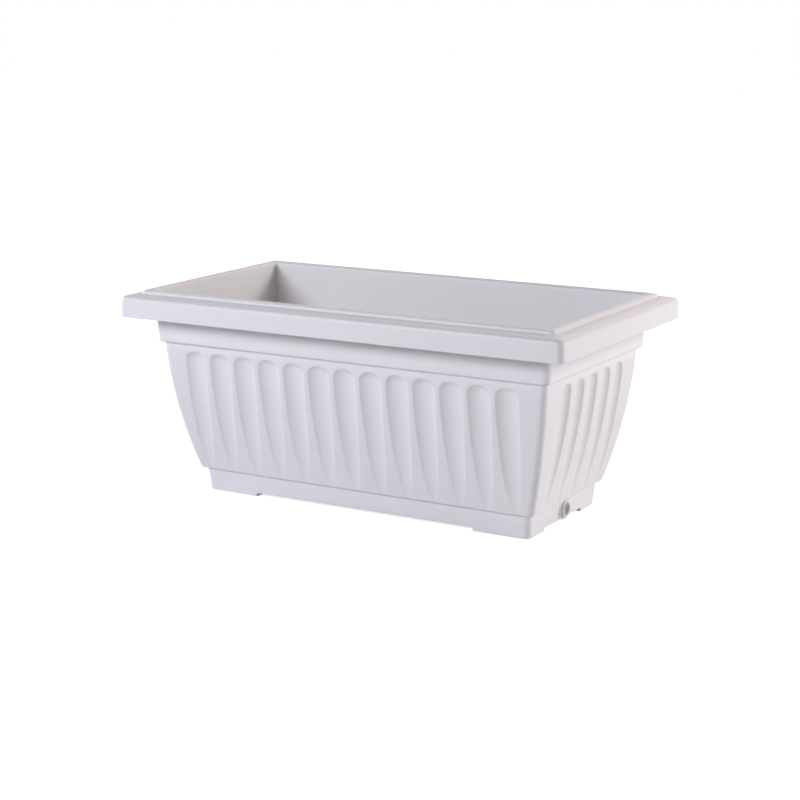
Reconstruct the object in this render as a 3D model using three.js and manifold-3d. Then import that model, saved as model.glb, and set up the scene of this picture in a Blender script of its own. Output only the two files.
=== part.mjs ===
// A long flared trough planter, moulded in white plastic: a stepped rim with a raised bead,
// curved walls with round-headed flutes, and a low plinth on four corner feet. The plinth
// holds water under a lift-out grid and empties through a plug in one end.
//
// Frame: +X along the length, +Z up, origin on the ground under the middle of the planter.
// Heights are millimetres above the ground. An "offset" is a distance inward from the outer
// edge of the rim, so one wall section serves the long sides and the ends alike.

import * as THREE from 'three';
import { mergeVertices } from 'three/addons/utils/BufferGeometryUtils.js';
import Module from 'manifold-3d';

const wasm = await Module();
wasm.setup();

// --- Driving dimensions ---------------------------------------------------------------

const LENGTH = 600;
const WIDTH = 330;
const WALL = 3;
const GAP = 0.3;

// Rim: a hanging skirt, a flat ledge and a raised bead round the mouth.
const SKIRT_FOOT = 225.5;
const LEDGE_TOP = 251.5;
const BEAD_TOP = 257.5;
const BEAD_OUTER = 19.5;
const BEAD_INNER = 30.6;
const RIM_ROUND = 3;

// Neck: the plain band between the rim and the fluted wall.
const NECK_OFFSET = 30.6;
const NECK_FOOT_OFFSET = 31.8;
const NECK_FOOT = 189;

// Fluted wall: steep under the neck, drawn in further and further towards the plinth.
const BODY_TOP = 186;
const BODY_FOOT = 30;
const BODY_TOP_OFFSET = 37.3;
const BODY_BELLY_OFFSET = 42.1;
const BODY_FOOT_OFFSET = 65.5;
const BODY_STEPS = 4;

// Plinth, floor and feet.
const PLINTH_TOP = 27.8;
const PLINTH_TOP_OFFSET = 71.5;
const PLINTH_FOOT_OFFSET = 75;
const FOOT_HEIGHT = 3.6;
const FOOT_LENGTH = 72.5;
const FOOT_WIDTH = 40;
const FLOOR_TOP = FOOT_HEIGHT + WALL;
const SHOULDER = PLINTH_TOP + WALL;

// Corners in plan.
const OUTER_CORNER = 5.5;
const INNER_CORNER = 4;
const CORNER_STEPS = 3;

// Flutes: scooped by a round-nosed form that leaves the wall as it nears the plinth. The
// form is broader on the long sides. Its nose is the height of its round end over its radius.
const SIDE_FLUTES = { count: 13, radius: 25, nose: 0.75 };
const END_FLUTES = { count: 5, radius: 17, nose: 0.95 };
const FLUTE_PITCH = 35.6;
const FLUTE_DEPTH = 5;
const FLUTE_HEAD = 172.5;
const FLUTE_FOOT = 29;
const FLUTE_FACETS = 24;
const BULGE_FACETS = 16;

// Gussets under the rim.
const GUSSET = 2.2;
const SIDE_GUSSETS = [-4, 0, 4];
const END_GUSSETS = [-1.5, 1.5];

// Drain in the +X end of the plinth.
const DRAIN_HEIGHT = 15.8;
const DRAIN_RADIUS = 8.7;
const SOCKET_RADIUS = 13.6;
const SOCKET_FACE = 225;
const SEAL_SEAT_RADIUS = 11.3;
const SEAL_SEAT_DEPTH = 2.9;
const BOSS_RADIUS = 14.5;
const BOSS_INNER_FACE = 216;

// Drain plug and its ring.
const FLANGE_RADIUS = SOCKET_RADIUS - 0.4;
const FLANGE = 2;
const BARREL_RADIUS = DRAIN_RADIUS - 0.4;
const BARREL_BORE = 6.6;
const COLLAR_RADIUS = 10.4;
const COLLAR_FACE = 230.5;
const RECESS_RADIUS = 7.8;
const PLUG_INNER_FACE = 217;
const SEAL_SECTION = 1.2;
const ROUND_FACETS = 24;

// Lift-out grid.
const GRID_OFFSET = 70.2;
const GRID_SKIRT_OFFSET = 76;
const GRID_THICKNESS = 2.5;
const GRID_RIB = 2;
const GRID_RIB_DEPTH = 5;
const GRID_RIB_REACH = 215;
const GRID_FOOT = SHOULDER + GAP;
const SLOT_WIDTH = 5;
const SLOT_LENGTH = 22;
const SLOT_PITCH_X = 30;
const SLOT_PITCH_Y = 34;
const SLOT_COLUMNS = 12;
const SLOT_ROWS = 5;
const GRIP_WIDTH = 22;
const GRIP_LENGTH = 44;
const GRIP_X = 203;

const white = (roughness) =>
  new THREE.MeshStandardMaterial({ color: 0xe4e3e6, roughness, metalness: 0 });
const moulding = white(0.42);
const gridPlastic = new THREE.MeshStandardMaterial({ color: 0xc9c9cc, roughness: 0.5, metalness: 0 });
const plugPlastic = white(0.38);
const rubber = new THREE.MeshStandardMaterial({ color: 0x2b2a2c, roughness: 0.7, metalness: 0 });

// --- Solids ---------------------------------------------------------------------------

// Turns a closed three.js geometry into a solid that can be joined and cut.
function solidOf(geometry) {
  const bare = geometry.clone();
  bare.deleteAttribute('normal');
  bare.deleteAttribute('uv');
  const merged = mergeVertices(bare, 1e-4);
  const index = merged.index.array;
  const triangles = [];
  for (let i = 0; i < index.length; i += 3) {
    const [a, b, c] = [index[i], index[i + 1], index[i + 2]];
    if (a !== b && b !== c && c !== a) triangles.push(a, b, c);
  }
  return new wasm.Manifold(new wasm.Mesh({
    numProp: 3,
    vertProperties: new Float32Array(merged.attributes.position.array),
    triVerts: new Uint32Array(triangles),
  }));
}

function meshOf(name, solid, material) {
  const { vertProperties, triVerts } = solid.getMesh();
  const geometry = new THREE.BufferGeometry();
  geometry.setAttribute('position', new THREE.BufferAttribute(vertProperties, 3));
  geometry.setIndex(new THREE.BufferAttribute(triVerts, 1));
  geometry.computeVertexNormals();
  const mesh = new THREE.Mesh(geometry, material);
  mesh.name = name;
  return mesh;
}

function joined(solids) {
  return solids.reduce((whole, solid) => whole.add(solid));
}

function box(x0, x1, y0, y1, z0, z1) {
  const geometry = new THREE.BoxGeometry(x1 - x0, y1 - y0, z1 - z0);
  geometry.translate((x0 + x1) / 2, (y0 + y1) / 2, (z0 + z1) / 2);
  return solidOf(geometry);
}

// A round bar along X, centred on the drain.
function drainBar(radius, x0, x1) {
  const geometry = new THREE.CylinderGeometry(radius, radius, x1 - x0, ROUND_FACETS);
  geometry.rotateZ(Math.PI / 2);
  geometry.translate((x0 + x1) / 2, 0, DRAIN_HEIGHT);
  return solidOf(geometry);
}

// --- The wall section, carried round a rounded rectangle ---------------------------------

// The outline of the planter in plan at one offset, anticlockwise from the +X +Y corner.
function outline(offset, corner) {
  const halfX = LENGTH / 2 - offset - corner;
  const halfY = WIDTH / 2 - offset - corner;
  const centres = [[halfX, halfY], [-halfX, halfY], [-halfX, -halfY], [halfX, -halfY]];
  const points = [];
  centres.forEach(([x, y], quarter) => {
    for (let step = 0; step <= CORNER_STEPS; step += 1) {
      const angle = (quarter + step / CORNER_STEPS) * Math.PI / 2;
      points.push([x + corner * Math.cos(angle), y + corner * Math.sin(angle)]);
    }
  });
  return points;
}

// A closed solid whose skin is the section turned round the outline, capped at both ends.
function carriedRound(section) {
  const positions = [];
  const index = [];
  const count = 4 * (CORNER_STEPS + 1);
  section.forEach(({ offset, z, corner }) => {
    outline(offset, corner).forEach(([x, y]) => positions.push(x, y, z));
  });
  for (let ring = 0; ring < section.length - 1; ring += 1) {
    for (let i = 0; i < count; i += 1) {
      const next = (i + 1) % count;
      const [a, b] = [ring * count + i, ring * count + next];
      index.push(a, b, b + count, a, b + count, a + count);
    }
  }
  const last = (section.length - 1) * count;
  for (let i = 1; i < count - 1; i += 1) {
    index.push(0, i + 1, i, last, last + i, last + i + 1);
  }
  const geometry = new THREE.BufferGeometry();
  geometry.setAttribute('position', new THREE.Float32BufferAttribute(positions, 3));
  geometry.setIndex(index);
  return solidOf(geometry);
}

// The points of a path drawn in offset and height, each with its corner radius in plan.
function stretch(path, corner, steps) {
  return path.getPoints(steps).map((point) => ({ offset: point.x, z: point.y, corner }));
}

// The curve of the fluted wall, moved inward by the given distance.
function wallCurve(inward) {
  return new THREE.QuadraticBezierCurve(
    new THREE.Vector2(BODY_TOP_OFFSET + inward, BODY_TOP),
    new THREE.Vector2(BODY_BELLY_OFFSET + inward, (BODY_TOP + BODY_FOOT) / 2),
    new THREE.Vector2(BODY_FOOT_OFFSET + inward, BODY_FOOT),
  );
}

function wallOffset(z) {
  const t = (BODY_TOP - z) / (BODY_TOP - BODY_FOOT);
  return wallCurve(0).getPoint(t).x;
}

// The fluted wall between the neck and the plinth, from the foot up.
function wallStretch(inward, corner, top, foot) {
  return wallCurve(inward).getPoints(BODY_STEPS)
    .map((point) => ({ offset: point.x, z: THREE.MathUtils.clamp(point.y, foot, top), corner }))
    .reverse();
}

function plinthSection() {
  const path = new THREE.Path();
  path.moveTo(PLINTH_FOOT_OFFSET + 0.7, 0);
  path.lineTo(PLINTH_FOOT_OFFSET, 0.7);
  path.lineTo(PLINTH_TOP_OFFSET, PLINTH_TOP);
  path.lineTo(BODY_FOOT_OFFSET + 3.5, PLINTH_TOP + 0.2);
  path.quadraticCurveTo(BODY_FOOT_OFFSET + 0.4, PLINTH_TOP + 0.4, BODY_FOOT_OFFSET, BODY_FOOT);
  return stretch(path, OUTER_CORNER, 3);
}

function neckSection() {
  const path = new THREE.Path();
  path.moveTo(BODY_TOP_OFFSET - 0.6, BODY_TOP + 2);
  path.lineTo(NECK_FOOT_OFFSET + 4, NECK_FOOT - 0.4);
  path.quadraticCurveTo(NECK_FOOT_OFFSET + 0.2, NECK_FOOT, NECK_FOOT_OFFSET, NECK_FOOT + 4);
  path.lineTo(NECK_OFFSET, SKIRT_FOOT + 12);
  return stretch(path, OUTER_CORNER, 3);
}

// The underside of the rim: hollow under the bead and the ledge, down inside the skirt.
function rimUnderside() {
  const under = LEDGE_TOP - WALL;
  const path = new THREE.Path();
  path.moveTo(BEAD_INNER - WALL, BEAD_TOP - 7);
  path.quadraticCurveTo(BEAD_INNER - WALL - 1, BEAD_TOP - WALL, BEAD_OUTER + 5, BEAD_TOP - WALL);
  path.quadraticCurveTo(BEAD_OUTER + 2.2, BEAD_TOP - WALL - 1, BEAD_OUTER + 1.6, under);
  path.lineTo(WALL + 2, under);
  path.lineTo(WALL + 0.4, under - 1.6);
  path.lineTo(WALL - 0.2, SKIRT_FOOT);
  return stretch(path, OUTER_CORNER, 3);
}

function rimTop() {
  const path = new THREE.Path();
  path.moveTo(0.4, SKIRT_FOOT);
  path.lineTo(0, SKIRT_FOOT + 0.6);
  path.lineTo(0.8, LEDGE_TOP - RIM_ROUND);
  path.quadraticCurveTo(0.9, LEDGE_TOP, RIM_ROUND + 0.9, LEDGE_TOP);
  path.lineTo(BEAD_OUTER, LEDGE_TOP);
  path.quadraticCurveTo(BEAD_OUTER + 0.8, BEAD_TOP, BEAD_OUTER + 5, BEAD_TOP);
  path.quadraticCurveTo(BEAD_INNER - 0.6, BEAD_TOP, BEAD_INNER, BEAD_TOP - 5);
  return stretch(path, OUTER_CORNER, 3);
}

function insideSection() {
  const path = new THREE.Path();
  path.moveTo(NECK_OFFSET + WALL, SKIRT_FOOT + 14);
  path.lineTo(NECK_FOOT_OFFSET + WALL, NECK_FOOT + 4);
  path.lineTo(BODY_TOP_OFFSET + WALL - 1, BODY_TOP + 1);
  return stretch(path, INNER_CORNER, 1);
}

function basinSection() {
  const path = new THREE.Path();
  path.moveTo(BODY_FOOT_OFFSET + WALL + 1.2, SHOULDER);
  path.lineTo(PLINTH_TOP_OFFSET + WALL, SHOULDER);
  path.lineTo(PLINTH_FOOT_OFFSET + WALL - 0.6, FLOOR_TOP + 2);
  path.lineTo(PLINTH_FOOT_OFFSET + WALL + 1.6, FLOOR_TOP);
  return stretch(path, INNER_CORNER, 1);
}

// The whole wall and floor in one section, from under the floor, up the outside, over the
// rim and down the inside to the top of the floor.
function shellBlank() {
  return carriedRound([
    ...plinthSection(),
    ...wallStretch(0, OUTER_CORNER, BODY_TOP, BODY_FOOT).slice(1),
    ...neckSection(),
    ...rimUnderside(),
    ...rimTop(),
    ...insideSection(),
    ...wallStretch(WALL, INNER_CORNER, BODY_TOP - 1, SHOULDER + 1.5).reverse(),
    ...basinSection(),
  ]);
}

// --- Flutes ---------------------------------------------------------------------------------

// How deep the scoop lies in the wall: full at its round head, nothing at the plinth.
function fluteDepth(z) {
  return FLUTE_DEPTH * Math.min(1, (z - FLUTE_FOOT) / (FLUTE_HEAD - FLUTE_FOOT));
}

// A round-nosed bar that stands outside the -Y wall and follows its curve. Grown on the same
// centre line, it gives the parallel bulge inside the wall.
function fluteForm(halfSize, flutes, grown, facets) {
  const radius = flutes.radius + grown;
  const profile = [new THREE.Vector2(0, BODY_FOOT - 2), new THREE.Vector2(radius, BODY_FOOT - 2)];
  wallCurve(0).getPoints(BODY_STEPS).reverse()
    .filter((point) => point.y < FLUTE_HEAD)
    .forEach((point) => profile.push(new THREE.Vector2(radius, point.y)));
  for (const degrees of [0, 19, 38, 60, 90]) {
    const angle = THREE.MathUtils.degToRad(degrees);
    const level = FLUTE_HEAD + flutes.nose * radius * Math.sin(angle);
    profile.push(new THREE.Vector2(Math.max(0, radius * Math.cos(angle)), level));
  }
  profile[profile.length - 1].x = 0;
  const geometry = new THREE.LatheGeometry(profile, facets);
  geometry.rotateX(Math.PI / 2);
  const position = geometry.attributes.position;
  for (let i = 0; i < position.count; i += 1) {
    const z = position.getZ(i);
    const wall = wallOffset(z) - halfSize;
    position.setY(i, position.getY(i) + wall - flutes.radius + fluteDepth(z));
  }
  return geometry;
}

// One form for every flute, stepped along both long sides and both ends.
function fluteForms(grown, facets) {
  const rows = [
    { half: WIDTH / 2, flutes: SIDE_FLUTES, turns: [0, Math.PI] },
    { half: LENGTH / 2, flutes: END_FLUTES, turns: [Math.PI / 2, -Math.PI / 2] },
  ];
  const forms = [];
  for (const { half, flutes, turns } of rows) {
    for (const turn of turns) {
      for (let i = 0; i < flutes.count; i += 1) {
        const form = fluteForm(half, flutes, grown, facets);
        form.translate((i - (flutes.count - 1) / 2) * FLUTE_PITCH, 0, 0);
        form.rotateZ(turn);
        forms.push(solidOf(form));
      }
    }
  }
  return joined(forms);
}

// The space inside the middle of the wall, which keeps the bulges off the outer skin.
function insideOfWall() {
  return carriedRound(wallStretch(WALL / 2, INNER_CORNER, BODY_TOP, SHOULDER + 1));
}

// --- Rim gussets, feet and drain socket -------------------------------------------------------

// Thin webs between the neck and the skirt, out of sight under the ledge.
function gussets() {
  const shape = new THREE.Shape([
    new THREE.Vector2(WALL - 1, LEDGE_TOP - 2),
    new THREE.Vector2(WALL - 1, LEDGE_TOP - 9),
    new THREE.Vector2(NECK_OFFSET + 1, SKIRT_FOOT + 4),
    new THREE.Vector2(NECK_OFFSET + 1, LEDGE_TOP - 2),
  ]);
  const places = [
    { half: WIDTH / 2, at: SIDE_GUSSETS, turns: [0, Math.PI] },
    { half: LENGTH / 2, at: END_GUSSETS, turns: [Math.PI / 2, -Math.PI / 2] },
  ];
  const webs = [];
  for (const { half, at, turns } of places) {
    for (const turn of turns) {
      for (const step of at) {
        const web = new THREE.ExtrudeGeometry(shape, { depth: GUSSET, bevelEnabled: false });
        web.rotateX(Math.PI / 2);
        web.rotateZ(Math.PI / 2);
        web.translate(step * FLUTE_PITCH + GUSSET / 2, -half, 0);
        web.rotateZ(turn);
        webs.push(solidOf(web));
      }
    }
  }
  return joined(webs);
}

// Calls the maker once for each corner, with the signs of that corner's X and Y.
function atCorners(maker) {
  const corners = [[1, 1], [-1, 1], [-1, -1], [1, -1]];
  return joined(corners.map(([sx, sy]) => maker(sx, sy)));
}

// A block in the corner of the base, from the outline inward, mirrored to its corner.
function cornerBlock(sx, sy, inset, length, width, z0, z1) {
  const outerX = LENGTH / 2 - PLINTH_FOOT_OFFSET - inset;
  const outerY = WIDTH / 2 - PLINTH_FOOT_OFFSET - inset;
  const xs = [sx * outerX, sx * (outerX - length)].sort((a, b) => a - b);
  const ys = [sy * outerY, sy * (outerY - width)].sort((a, b) => a - b);
  return box(xs[0], xs[1], ys[0], ys[1], z0, z1);
}

// The space under the floor, in both directions, that leaves the four corner feet.
function footRelief() {
  const halfX = LENGTH / 2 - PLINTH_FOOT_OFFSET - FOOT_LENGTH;
  const halfY = WIDTH / 2 - PLINTH_FOOT_OFFSET - FOOT_WIDTH;
  return box(-halfX, halfX, -WIDTH, WIDTH, -1, FOOT_HEIGHT)
    .add(box(-LENGTH, LENGTH, -halfY, halfY, -1, FOOT_HEIGHT));
}

// The feet are hollow on the inside, so the floor keeps the thickness of the walls.
function footPockets() {
  return atCorners((sx, sy) => cornerBlock(
    sx, sy, WALL + 2, FOOT_LENGTH - 2 * WALL - 2, FOOT_WIDTH - 2 * WALL - 2, WALL, FLOOR_TOP + 1,
  ));
}

function drainBoss() {
  const wallInside = LENGTH / 2 - PLINTH_TOP_OFFSET - 1;
  return drainBar(BOSS_RADIUS, BOSS_INNER_FACE, wallInside)
    .intersect(box(BOSS_INNER_FACE - 1, wallInside + 1, -30, 30, FOOT_HEIGHT + 1, SHOULDER));
}

function drainCuts() {
  return joined([
    drainBar(SOCKET_RADIUS, SOCKET_FACE, SOCKET_FACE + 20),
    drainBar(SEAL_SEAT_RADIUS, SOCKET_FACE - SEAL_SEAT_DEPTH, SOCKET_FACE + 1),
    drainBar(DRAIN_RADIUS, BOSS_INNER_FACE - 1, SOCKET_FACE + 1),
  ]);
}

function troughShell() {
  return shellBlank()
    .add(fluteForms(WALL, BULGE_FACETS).intersect(insideOfWall()))
    .subtract(fluteForms(0, FLUTE_FACETS))
    .add(gussets())
    .subtract(footRelief())
    .subtract(footPockets())
    .add(drainBoss())
    .subtract(drainCuts());
}

// --- Lift-out grid ----------------------------------------------------------------------------

// A flat outline with half-round ends, its long way along Y.
function roundSlot(x, y, width, length, type) {
  const slot = new type();
  const radius = width / 2;
  const reach = length / 2 - radius;
  slot.absarc(x, y + reach, radius, 0, Math.PI, false);
  slot.absarc(x, y - reach, radius, Math.PI, 2 * Math.PI, false);
  slot.closePath();
  return slot;
}

// Shifts a counter from 0 .. count-1 to steps that are even about zero.
function centred(index, count) {
  return index - (count - 1) / 2;
}

function gridPlate() {
  const corners = outline(GRID_OFFSET, INNER_CORNER).map(([x, y]) => new THREE.Vector2(x, y));
  const shape = new THREE.Shape(corners);
  for (let column = 0; column < SLOT_COLUMNS; column += 1) {
    for (let row = 0; row < SLOT_ROWS; row += 1) {
      const x = centred(column, SLOT_COLUMNS) * SLOT_PITCH_X;
      const y = centred(row, SLOT_ROWS) * SLOT_PITCH_Y;
      shape.holes.push(roundSlot(x, y, SLOT_WIDTH, SLOT_LENGTH, THREE.Path));
    }
  }
  for (const side of [-1, 1]) {
    shape.holes.push(roundSlot(side * GRIP_X, 0, GRIP_WIDTH, GRIP_LENGTH, THREE.Path));
  }
  const settings = { depth: GRID_THICKNESS, bevelEnabled: false, curveSegments: 2 };
  const plate = new THREE.ExtrudeGeometry(shape, settings);
  plate.translate(0, 0, GRID_FOOT);
  return solidOf(plate);
}

// Shallow walls under the long edges of the plate, which drop into the mouth of the plinth and
// centre it. They stop short of the ends, where the drain is.
function gridSkirt() {
  const ring = (offset, low, high) => carriedRound([
    { offset: offset + 0.4, z: low, corner: INNER_CORNER },
    { offset, z: high, corner: INNER_CORNER },
  ]);
  const [low, high] = [GRID_FOOT - GRID_RIB_DEPTH, GRID_FOOT + 1];
  const outer = ring(GRID_SKIRT_OFFSET, low, high);
  const inner = ring(GRID_SKIRT_OFFSET + GRID_RIB, low - 1, high + 1);
  const reach = box(-GRID_RIB_REACH, GRID_RIB_REACH, -WIDTH / 2, WIDTH / 2, 0, GRID_FOOT + 1);
  return outer.subtract(inner).intersect(reach);
}

// Ribs between the rows of slots.
function gridRibs() {
  const endY = WIDTH / 2 - GRID_SKIRT_OFFSET - GRID_RIB / 2;
  const [low, high] = [GRID_FOOT - GRID_RIB_DEPTH, GRID_FOOT + 1];
  const half = GRID_RIB / 2;
  const along = [-1.5, 1.5].map((step) => {
    const y = step * SLOT_PITCH_Y;
    return box(-GRID_RIB_REACH, GRID_RIB_REACH, y - half, y + half, low, high);
  });
  const across = [-6, -4, -2, 0, 2, 4, 6].map((step) => {
    const x = step * SLOT_PITCH_X;
    return box(x - half, x + half, -endY, endY, low, high);
  });
  return joined([...along, ...across]);
}

// Cross-shaped posts that carry the soil's weight down to the floor.
function gridPosts() {
  const reach = 8;
  const half = GRID_RIB / 2;
  const [low, high] = [FLOOR_TOP + GAP, GRID_FOOT];
  const posts = [];
  for (const stepX of [-4, 0, 4]) {
    for (const stepY of [-1.5, 1.5]) {
      const [x, y] = [stepX * SLOT_PITCH_X, stepY * SLOT_PITCH_Y];
      posts.push(box(x - reach, x + reach, y - half, y + half, low, high));
      posts.push(box(x - half, x + half, y - reach, y + reach, low, high));
    }
  }
  return joined(posts);
}

function reservoirGrid() {
  return joined([gridPlate(), gridSkirt(), gridRibs(), gridPosts()]);
}

// --- Drain plug -------------------------------------------------------------------------------

// Turns a profile of radius and X round the drain's axis.
function turnedOnDrain(profile) {
  const points = profile.map(([radius, x]) => new THREE.Vector2(radius, x));
  const geometry = new THREE.LatheGeometry(points, ROUND_FACETS);
  geometry.rotateZ(-Math.PI / 2);
  geometry.translate(0, 0, DRAIN_HEIGHT);
  return geometry;
}

// A hollow bung: a tapered barrel closed inside, a flange and a collar to grip.
function drainPlug() {
  const flangeFace = SOCKET_FACE + GAP;
  return solidOf(turnedOnDrain([
    [0, PLUG_INNER_FACE],
    [BARREL_RADIUS - 1.4, PLUG_INNER_FACE],
    [BARREL_RADIUS - 0.5, PLUG_INNER_FACE + 1],
    [BARREL_RADIUS, flangeFace],
    [FLANGE_RADIUS, flangeFace],
    [FLANGE_RADIUS, flangeFace + FLANGE - 0.6],
    [FLANGE_RADIUS - 0.6, flangeFace + FLANGE],
    [COLLAR_RADIUS, flangeFace + FLANGE],
    [COLLAR_RADIUS - 0.2, COLLAR_FACE - 0.7],
    [COLLAR_RADIUS - 0.9, COLLAR_FACE],
    [RECESS_RADIUS + 0.5, COLLAR_FACE],
    [RECESS_RADIUS, COLLAR_FACE - 0.7],
    [RECESS_RADIUS - 0.3, flangeFace + 0.7],
    [BARREL_BORE, flangeFace - 0.5],
    [BARREL_BORE - 0.4, PLUG_INNER_FACE + 2],
    [0, PLUG_INNER_FACE + 2],
  ]));
}

// A rubber ring round the barrel, in the seat behind the flange.
function plugSeal() {
  const radius = (BARREL_RADIUS + SEAL_SEAT_RADIUS) / 2;
  const x = SOCKET_FACE - SEAL_SEAT_DEPTH + GAP + SEAL_SECTION;
  const profile = [];
  const sides = 8;
  for (let i = 0; i <= sides; i += 1) {
    const angle = 2 * Math.PI * (i % sides) / sides;
    profile.push([radius + SEAL_SECTION * Math.cos(angle), x + SEAL_SECTION * Math.sin(angle)]);
  }
  return solidOf(turnedOnDrain(profile));
}

// --- The planter ------------------------------------------------------------------------------

const planter = new THREE.Group();
planter.add(meshOf('trough_shell', troughShell(), moulding));
planter.add(meshOf('reservoir_grid', reservoirGrid(), gridPlastic));
planter.add(meshOf('drain_plug', drainPlug(), plugPlastic));
planter.add(meshOf('plug_seal', plugSeal(), rubber));

export default planter;
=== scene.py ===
# %% [markdown]
# # A fluted trough planter
# The object is a long plant trough, moulded in one shot of white plastic. A stepped rim with a
# raised bead hangs over a plain neck, the walls curve in towards a low plinth, and round-headed
# flutes run down them. A loose grid keeps the soil out of the water in the plinth, and a hollow
# plug in one end lets the water out. This lesson dresses a measured model of it, the frame.
# Everything here is in metres, in the frame's own axes: X along the length, Z up.

# %% Load the frame
import math

import bmesh
import bpy
from mathutils import Matrix, Vector


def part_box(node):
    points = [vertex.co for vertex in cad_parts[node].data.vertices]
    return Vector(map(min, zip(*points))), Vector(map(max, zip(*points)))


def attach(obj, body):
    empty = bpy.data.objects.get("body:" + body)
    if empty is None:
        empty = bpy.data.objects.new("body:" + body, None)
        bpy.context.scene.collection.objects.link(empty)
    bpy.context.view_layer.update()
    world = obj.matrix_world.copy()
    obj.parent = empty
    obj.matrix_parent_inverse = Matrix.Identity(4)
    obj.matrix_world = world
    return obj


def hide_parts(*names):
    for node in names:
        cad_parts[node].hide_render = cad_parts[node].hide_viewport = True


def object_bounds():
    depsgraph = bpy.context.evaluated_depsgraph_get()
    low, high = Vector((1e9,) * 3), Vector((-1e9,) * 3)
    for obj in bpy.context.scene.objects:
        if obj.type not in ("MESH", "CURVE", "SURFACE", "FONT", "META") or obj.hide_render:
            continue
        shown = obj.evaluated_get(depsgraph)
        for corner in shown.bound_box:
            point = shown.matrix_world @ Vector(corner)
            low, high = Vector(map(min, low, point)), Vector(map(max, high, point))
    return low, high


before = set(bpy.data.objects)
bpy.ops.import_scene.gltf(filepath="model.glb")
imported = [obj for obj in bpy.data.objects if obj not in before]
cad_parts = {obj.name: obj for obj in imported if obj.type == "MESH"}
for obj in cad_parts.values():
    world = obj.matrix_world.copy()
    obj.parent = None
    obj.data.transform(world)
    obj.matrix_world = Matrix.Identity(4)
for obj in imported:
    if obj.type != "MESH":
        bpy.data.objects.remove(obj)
cad_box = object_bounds()
MM = 0.001
LENGTH, WIDTH, HEIGHT = cad_box[1] - cad_box[0]
print(f"frame: {LENGTH:.3f} x {WIDTH:.3f} x {HEIGHT:.4f} m, {len(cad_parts)} nodes")

# %% [markdown]
# ## The camera
# A product photograph is usually taken with a long lens from a little above, so that upright
# lines stay upright. The camera could be placed by eye, but one fitted to the edges of the rim
# and the plinth puts every corner on its corner in the picture. It is given here as angles
# round the object, a distance and a focal length in pixels of an 800-pixel frame.

# %% Camera
AZIMUTH, ELEVATION, ROLL = (math.radians(angle) for angle in (30.43, 12.593, -0.166))
DISTANCE = 2.3454
FOCAL_PIXELS, FRAME_PIXELS = 1884.5, 800
SENSOR = 36.0
AIM_RIGHT, AIM_UP = 0.0017, 0.1193


def place_camera():
    """Looks at the aim point along the given angles, without shift or depth of field."""
    ahead = Vector((-math.sin(AZIMUTH) * math.cos(ELEVATION),
                    math.cos(AZIMUTH) * math.cos(ELEVATION), -math.sin(ELEVATION)))
    right = Vector((math.cos(AZIMUTH), math.sin(AZIMUTH), 0))
    up = right.cross(ahead)
    aim = right * AIM_RIGHT + up * AIM_UP
    axes = Matrix((right, up, -ahead)).transposed() @ Matrix.Rotation(ROLL, 3, "Z")
    data = bpy.data.cameras.new("camera")
    data.sensor_width = SENSOR
    data.lens = FOCAL_PIXELS / FRAME_PIXELS * SENSOR
    camera = bpy.data.objects.new("camera", data)
    bpy.context.scene.collection.objects.link(camera)
    camera.matrix_world = Matrix.Translation(aim - ahead * DISTANCE) @ axes.to_4x4()
    bpy.context.scene.camera = camera
    print(f"camera: lens {data.lens:.1f} mm, {DISTANCE:.2f} m from the planter")


place_camera()

# %% [markdown]
# ## Sums written as sums
# Node trees are easier to read as formulas. A small class wraps an output socket, and its
# operators add Math nodes, so that 1 - mask or run / pitch build themselves. Shader trees and
# Geometry Nodes share the same Math node, so both kinds of tree are written with it.

# %% Wires
class Wire:
    """An output socket that can be used in a formula."""

    def __init__(self, graph, socket):
        self.graph = graph
        self.socket = socket

    def __add__(self, other):
        return self.graph.math("ADD", self, other)

    def __sub__(self, other):
        return self.graph.math("SUBTRACT", self, other)

    def __rsub__(self, other):
        return self.graph.math("SUBTRACT", other, self)

    def __mul__(self, other):
        return self.graph.math("MULTIPLY", self, other)

    def __truediv__(self, other):
        return self.graph.math("DIVIDE", self, other)

    def __pow__(self, other):
        return self.graph.math("POWER", self, other)

    __radd__ = __add__
    __rmul__ = __mul__


print("operators that add a Math node: + - * / **")

# %% [markdown]
# ## Trees under construction
# Any other node comes from one method, which takes the node's type, its settings and what goes
# into its sockets. The settings are made first, because some of them change the sockets. A
# Geometry Nodes tree also gets named inputs for its sizes, and always ends in the same way.

# %% Graphs
def socket_of(sockets, key):
    """The socket with that number, identifier or name."""
    if isinstance(key, int):
        return sockets[key]
    matches = [s for s in sockets if s.identifier == key] or [s for s in sockets if s.name == key]
    return matches[0]


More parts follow.
